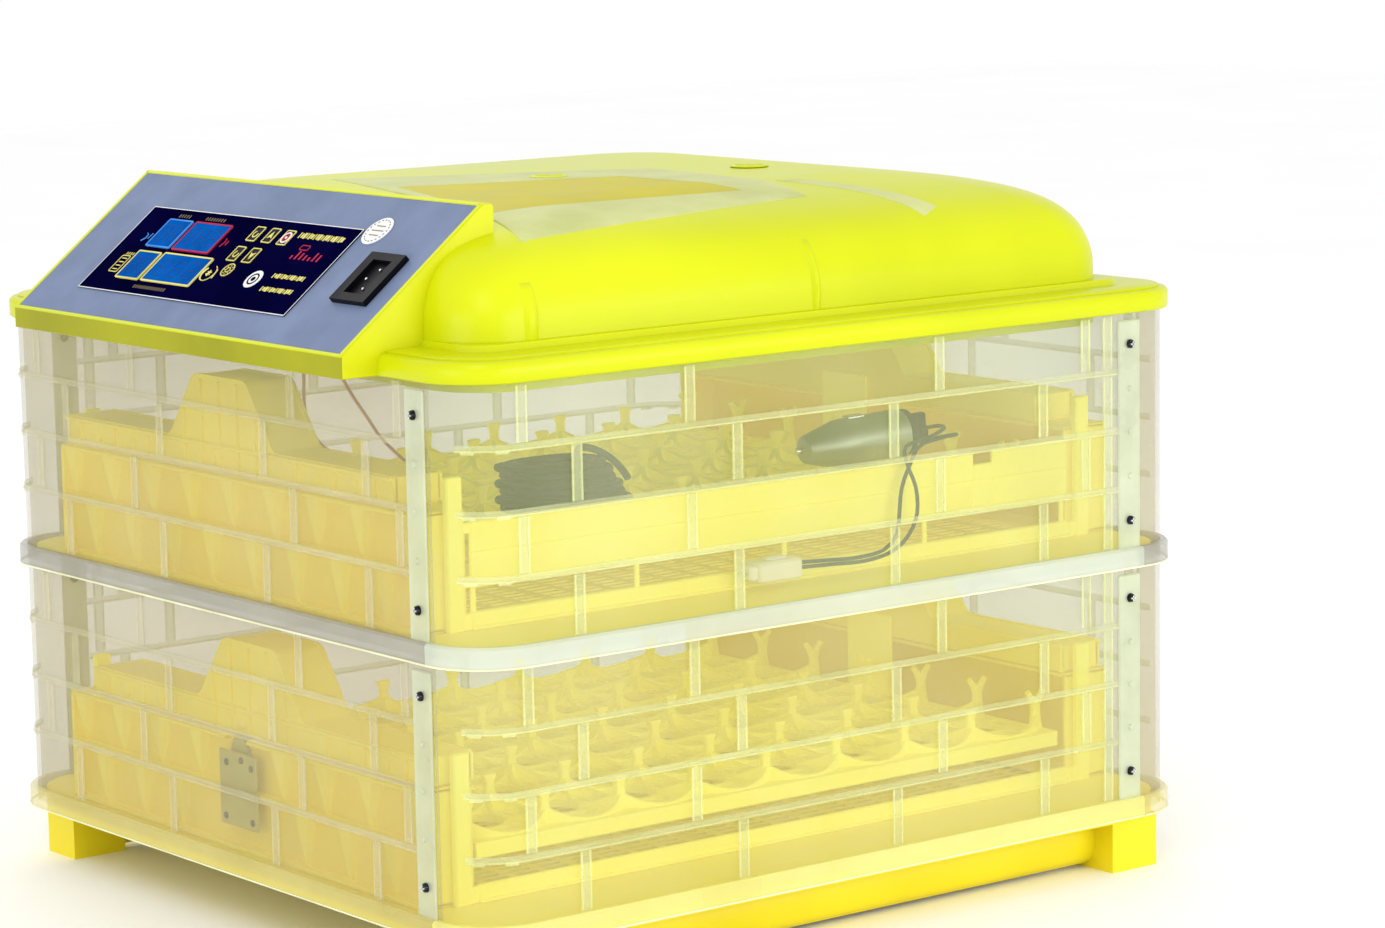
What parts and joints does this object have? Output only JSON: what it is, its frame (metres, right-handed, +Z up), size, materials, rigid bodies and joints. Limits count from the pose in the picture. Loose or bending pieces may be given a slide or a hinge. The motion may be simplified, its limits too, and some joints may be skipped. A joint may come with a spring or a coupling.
{
  "type": "egg incubator",
  "caption": "Tabletop egg incubator with two stacked clear storeys, sliding egg trays, a yellow lid with vents and a sloped control panel.",
  "frame": {"origin": "on the floor, at the bottom centre of the whole object, control box included", "axes": "+X to the right along the long front side, away from the control box; +Y to the back; +Z up"},
  "size_m": [0.5214, 0.48, 0.402],
  "materials": {
    "clear_wall": "clear ribbed panel, slightly hazy",
    "yellow_plastic": "satin, moulded",
    "lemon_lid": "glossy, vacuum formed",
    "clear_window": "clear, slightly hazy",
    "blue_grey_plate": "satin",
    "navy_label": "printed film, semi-gloss",
    "screen_blue": "backlit display, protective film",
    "button_dark": "semi-gloss",
    "white_sticker": "matt paper",
    "black_plastic": "fine grain",
    "motor_steel": "smooth, bright",
    "bracket_steel": "zinc plated, greenish",
    "circuit_green": "solder mask",
    "black_wire": "smooth insulation",
    "pink_lead": "smooth insulation",
    "white_connector": "satin",
    "vent_yellow": "satin"
  },
  "bodies": {
    "base": {"base_pan": "yellow_plastic", "lower_floor_grille": "yellow_plastic", "lower_panel_front": "clear_wall", "lower_panel_left": "clear_wall", "lower_panel_back": "clear_wall", "lower_panel_right": "clear_wall", "lower_end_wall_left": "yellow_plastic", "lower_end_wall_right": "yellow_plastic", "lower_rail_front": "yellow_plastic", "lower_rail_back": "yellow_plastic", "lower_motor": "motor_steel", "lower_motor_bracket": "bracket_steel"},
    "lower_turner": {"lower_tray": "yellow_plastic", "lower_drive_bar_left": "yellow_plastic", "lower_drive_bar_right": "yellow_plastic"},
    "lower_pinion": {"lower_pinion": "motor_steel"},
    "upper_storey": {"upper_floor_grille": "yellow_plastic", "upper_panel_front": "clear_wall", "upper_panel_left": "clear_wall", "upper_panel_back": "clear_wall", "upper_panel_right": "clear_wall", "upper_end_wall_left": "yellow_plastic", "upper_end_wall_right": "yellow_plastic", "upper_rail_front": "yellow_plastic", "upper_rail_back": "yellow_plastic", "upper_guard": "yellow_plastic", "loose_motor": "motor_steel", "motor_lead_1": "black_wire", "motor_lead_2": "black_wire", "motor_connector": "white_connector", "cord_bundle": "black_wire"},
    "upper_turner": {"upper_tray": "yellow_plastic", "upper_drive_bar_left": "yellow_plastic", "upper_drive_bar_right": "yellow_plastic"},
    "lid": {"lid_shell": "lemon_lid", "lid_window": "clear_window", "control_plate": "blue_grey_plate", "control_label": "navy_label", "screen_humidity": "screen_blue", "screen_temperature": "screen_blue", "screen_days": "screen_blue", "screen_timer": "screen_blue", "round_sticker": "white_sticker", "power_inlet": "black_plastic", "circuit_board": "circuit_green", "fan_housing": "black_plastic", "heater_ring": "motor_steel", "sensor_lead_1": "pink_lead", "sensor_lead_2": "pink_lead", "sensor_probe_1": "motor_steel", "sensor_probe_2": "motor_steel"},
    "fan_rotor": {"fan_rotor": "black_plastic"},
    "vent_cap_1": {"vent_cap_1": "vent_yellow"},
    "vent_cap_2": {"vent_cap_2": "vent_yellow"},
    "button_set": {"button_set": "button_dark"},
    "button_up": {"button_up": "button_dark"},
    "button_alarm": {"button_alarm": "button_dark"},
    "button_reset": {"button_reset": "button_dark"},
    "button_down": {"button_down": "button_dark"},
    "button_light": {"button_light": "button_dark"}
  },
  "joints": [
    {"name": "upper_storey_lift", "type": "slide", "parent": "base", "child": "upper_storey", "axis": [0, 0, 1], "range_m": [0, 0.2]},
    {"name": "lid_lift", "type": "slide", "parent": "upper_storey", "child": "lid", "axis": [0, 0, 1], "range_m": [0, 0.16]},
    {"name": "lower_tray_slide", "type": "slide", "parent": "base", "child": "lower_turner", "axis": [0, 1, 0], "range_m": [0, 0.021]},
    {"name": "lower_pinion_spin", "type": "hinge", "parent": "base", "child": "lower_pinion", "pos_m": [-0.22295, 0, 0.0975], "axis": [1, 0, 0], "range_deg": [-121, 0]},
    {"name": "upper_tray_slide", "type": "slide", "parent": "upper_storey", "child": "upper_turner", "axis": [0, 1, 0], "range_m": [-0.021, 0]},
    {"name": "fan_spin", "type": "hinge", "parent": "lid", "child": "fan_rotor", "pos_m": [0.01075, 0, 0.365], "axis": [0, 0, 1], "continuous": true},
    {"name": "vent_1_turn", "type": "hinge", "parent": "lid", "child": "vent_cap_1", "pos_m": [-0.01725, -0.01, 0.397], "axis": [0, 0, 1], "range_deg": [0, 90]},
    {"name": "vent_2_turn", "type": "hinge", "parent": "lid", "child": "vent_cap_2", "pos_m": [0.10275, -0.04, 0.397], "axis": [0, 0, 1], "range_deg": [0, 90]},
    {"name": "button_set_press", "type": "slide", "parent": "lid", "child": "button_set", "axis": [0.6214, 0, -0.7835], "range_m": [0, 0.0008], "stiffness_N_per_m": 300, "springref_m": -0.0006},
    {"name": "button_up_press", "type": "slide", "parent": "lid", "child": "button_up", "axis": [0.6214, 0, -0.7835], "range_m": [0, 0.0008], "stiffness_N_per_m": 300, "springref_m": -0.0006},
    {"name": "button_alarm_press", "type": "slide", "parent": "lid", "child": "button_alarm", "axis": [0.6214, 0, -0.7835], "range_m": [0, 0.0008], "stiffness_N_per_m": 300, "springref_m": -0.0006},
    {"name": "button_reset_press", "type": "slide", "parent": "lid", "child": "button_reset", "axis": [0.6214, 0, -0.7835], "range_m": [0, 0.0008], "stiffness_N_per_m": 300, "springref_m": -0.0006},
    {"name": "button_down_press", "type": "slide", "parent": "lid", "child": "button_down", "axis": [0.6214, 0, -0.7835], "range_m": [0, 0.0008], "stiffness_N_per_m": 300, "springref_m": -0.0006},
    {"name": "button_light_press", "type": "slide", "parent": "lid", "child": "button_light", "axis": [0.6214, 0, -0.7835], "range_m": [0, 0.0008], "stiffness_N_per_m": 300, "springref_m": -0.0006}
  ],
  "couplings": [
    {"joint": "lower_pinion_spin", "follows": "lower_tray_slide", "rad_per_m": -100}
  ]
}
